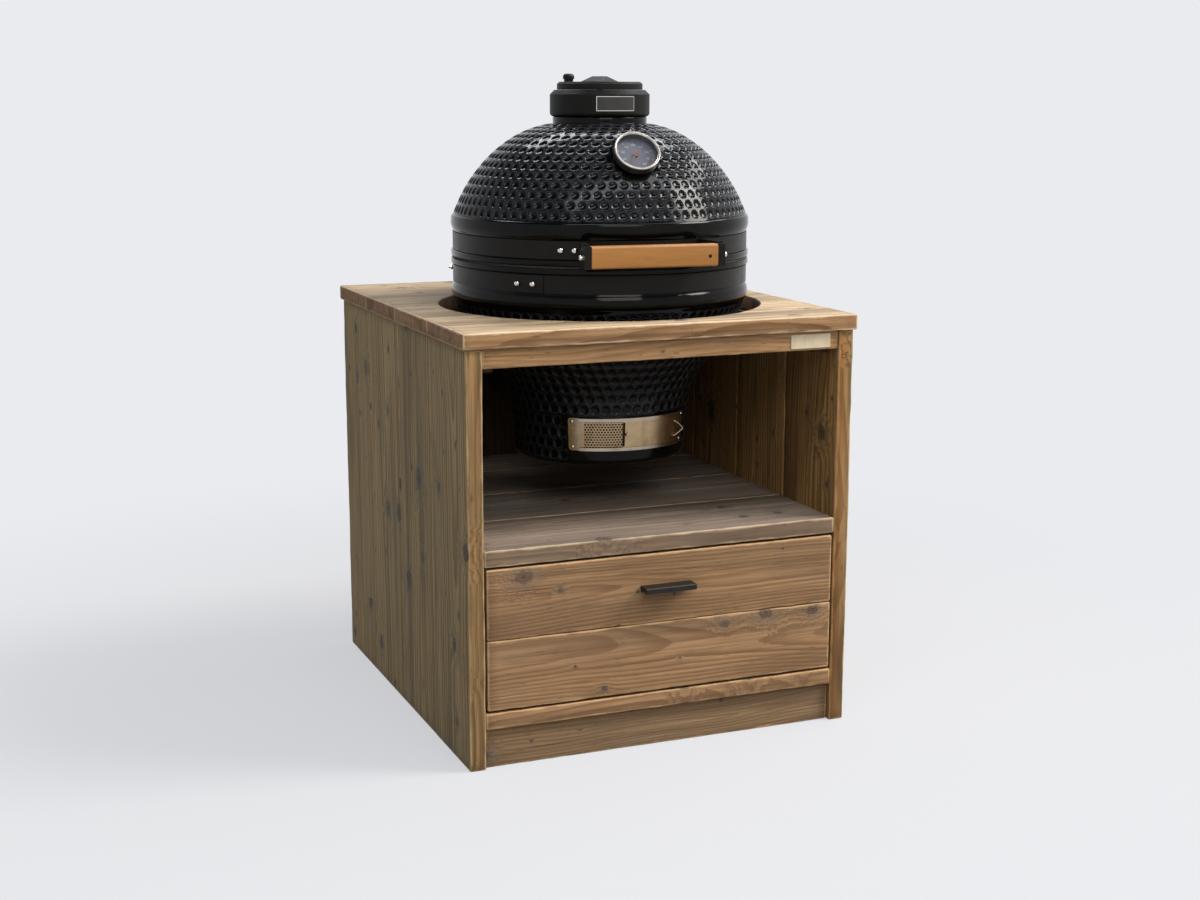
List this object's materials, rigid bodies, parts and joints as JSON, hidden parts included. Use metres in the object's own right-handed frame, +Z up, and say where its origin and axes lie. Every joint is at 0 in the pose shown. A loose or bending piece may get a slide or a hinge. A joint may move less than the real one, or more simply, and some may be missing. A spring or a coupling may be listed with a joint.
{
  "type": "outdoor kitchen",
  "caption": "Scaffold-wood outdoor kitchen: a plank cabinet with a niche and a drawer, and a black dimpled ceramic kamado grill sunk in a round cut-out of its top.",
  "frame": {"origin": "on the floor, under the middle of the bounding box", "axes": "+X to the right seen from the front, +Y to the back, +Z up"},
  "size_m": [0.73, 0.823, 1.1645],
  "materials": {
    "scaffold_wood": "weathered, oiled",
    "drawer_box_wood": "sanded",
    "handle_wood": "lacquered",
    "black_glaze": "gloss, dimpled",
    "fire_clay": "raw",
    "cast_iron": "matt black",
    "black_steel": "satin",
    "stainless": "brushed",
    "bright_bolts": "polished",
    "runner_steel": "zinc plated",
    "felt": "felt",
    "pull_black": "matt",
    "dial_face": "printed",
    "dial_glass": "clear",
    "needle_orange": "matt"
  },
  "bodies": {
    "cabinet": {"side_plank_left_1": "scaffold_wood", "side_plank_left_2": "scaffold_wood", "side_plank_left_3": "scaffold_wood", "side_plank_left_4": "scaffold_wood", "side_plank_right_1": "scaffold_wood", "side_plank_right_2": "scaffold_wood", "side_plank_right_3": "scaffold_wood", "side_plank_right_4": "scaffold_wood", "top_plank_1": "scaffold_wood", "top_plank_2": "scaffold_wood", "top_plank_3": "scaffold_wood", "top_plank_4": "scaffold_wood", "shelf_plank_1": "scaffold_wood", "shelf_plank_2": "scaffold_wood", "shelf_plank_3": "scaffold_wood", "shelf_plank_4": "scaffold_wood", "floor_planks": "scaffold_wood", "back_planks": "scaffold_wood", "aprons": "scaffold_wood", "plinth": "scaffold_wood", "cleats": "scaffold_wood", "cabinet_runners": "runner_steel", "base_bowl": "black_glaze", "support_frame": "black_steel", "fire_box": "fire_clay", "fire_ring": "fire_clay", "charcoal_grate": "cast_iron", "base_gasket": "felt", "lower_band": "black_steel", "lower_band_bolts": "bright_bolts", "vent_frame": "stainless", "hinge_lower_bracket": "black_steel", "hinge_pin": "bright_bolts", "hinge_barrel": "black_steel"},
    "drawer": {"drawer_front_upper": "scaffold_wood", "drawer_front_lower": "scaffold_wood", "drawer_side_left": "drawer_box_wood", "drawer_side_right": "drawer_box_wood", "drawer_back": "drawer_box_wood", "drawer_bottom": "drawer_box_wood", "drawer_pull": "pull_black", "drawer_runners": "runner_steel"},
    "dome": {"dome_shell": "black_glaze", "dome_gasket": "felt", "upper_band": "black_steel", "hinge_upper_bracket": "black_steel", "cap_body": "cast_iron", "handle_bar": "handle_wood", "handle_brackets": "black_steel", "handle_bolts": "bright_bolts", "thermometer_case": "stainless", "thermometer_dial": "dial_face", "thermometer_glass": "dial_glass"},
    "vent_disc": {"vent_disc": "cast_iron", "vent_knob": "cast_iron"},
    "needle": {"thermometer_needle": "needle_orange"},
    "draft_door": {"draft_door": "stainless"},
    "mesh_screen": {"mesh_screen": "stainless"},
    "cooking_grate": {"cooking_grate": "stainless"}
  },
  "joints": [
    {"name": "drawer_slide", "type": "slide", "parent": "cabinet", "child": "drawer", "axis": [0, -1, 0], "range_m": [0, 0.45]},
    {"name": "dome_hinge", "type": "hinge", "parent": "cabinet", "child": "dome", "pos_m": [0.04047, 0.25337, 0.83655], "axis": [-0.9962, 0.0872, 0], "range_deg": [0, 70]},
    {"name": "vent_turn", "type": "hinge", "parent": "dome", "child": "vent_disc", "pos_m": [0.0145, -0.0435, 1.1355], "axis": [0, 0, 1], "range_deg": [0, 45]},
    {"name": "needle_turn", "type": "hinge", "parent": "dome", "child": "needle", "pos_m": [-0.00311, -0.24473, 1.0181], "axis": [0.0668, 0.7631, -0.6428], "range_deg": [0, 270]},
    {"name": "draft_door_slide", "type": "hinge", "parent": "cabinet", "child": "draft_door", "pos_m": [0.0145, -0.0435, 0.527], "axis": [0, 0, 1], "range_deg": [-26, 0]},
    {"name": "mesh_screen_slide", "type": "hinge", "parent": "cabinet", "child": "mesh_screen", "pos_m": [0.0145, -0.0435, 0.527], "axis": [0, 0, 1], "range_deg": [0, 26]},
    {"name": "cooking_grate_lift", "type": "slide", "parent": "cabinet", "child": "cooking_grate", "axis": [0, 0, 1], "range_m": [0, 0.06]}
  ]
}
